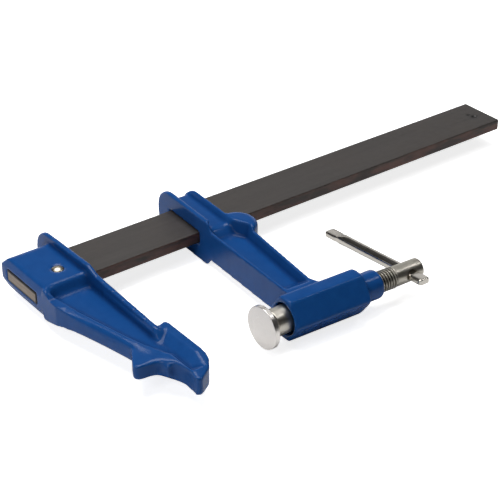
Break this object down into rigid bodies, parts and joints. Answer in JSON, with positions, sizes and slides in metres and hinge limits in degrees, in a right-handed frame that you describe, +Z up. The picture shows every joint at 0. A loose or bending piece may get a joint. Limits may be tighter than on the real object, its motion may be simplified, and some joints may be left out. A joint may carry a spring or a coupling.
{
  "type": "quick release bar clamp",
  "caption": "Quick release bar clamp: flat bar with a riveted cast jaw, and a sliding cast jaw with a screw spindle, swivel pad and sliding handle rod.",
  "frame": {"origin": "centre line of the clamping screw on the clamping face of the fixed jaw", "axes": "+X along the bar from the fixed jaw towards the screw, jaws reach towards -Y, +Z up, square to the broad face of the bar"},
  "size_m": [0.4, 0.1849, 0.0328],
  "materials": {
    "bar_steel": "dark mill scale, brown at the edges, bare at the cut end",
    "blue_enamel": "glossy blue enamel over a fine cast surface",
    "bright_rivet": "bright rivet head",
    "bright_zinc": "bright plated steel, turned",
    "satin_zinc": "satin plated steel"
  },
  "bodies": {
    "frame": {"bar": "bar_steel", "fixed_jaw": "blue_enamel", "jaw_rivet": "bright_rivet"},
    "slider": {"sliding_jaw": "blue_enamel"},
    "screw_carrier": {"pad_ring": "satin_zinc"},
    "screw": {"spindle": "bright_zinc"},
    "swivel_pad": {"pad": "satin_zinc"},
    "handle": {"tommy_bar": "bright_zinc"}
  },
  "joints": [
    {"name": "jaw_slide", "type": "slide", "parent": "frame", "child": "slider", "axis": [1, 0, 0], "range_m": [-0.025, 0.24]},
    {"name": "screw_travel", "type": "slide", "parent": "slider", "child": "screw_carrier", "axis": [-0.9986, 0.0523, 0], "range_m": [-0.0115, 0.02]},
    {"name": "spindle_turn", "type": "hinge", "parent": "screw_carrier", "child": "screw", "pos_m": [0.09986, -0.00523, 0], "axis": [-0.9986, 0.0523, 0], "range_deg": [-2080, 3610]},
    {"name": "pad_swivel", "type": "hinge", "parent": "screw_carrier", "child": "swivel_pad", "pos_m": [0.06072, -0.00318, 0], "axis": [0, 0, 1], "range_deg": [-8, 2]},
    {"name": "handle_slide", "type": "slide", "parent": "screw", "child": "handle", "axis": [-0.0519, -0.991, 0.1236], "range_m": [0, 0.061]}
  ],
  "couplings": [
    {"joint": "spindle_turn", "follows": "screw_travel", "rad_per_m": 3141.6}
  ]
}
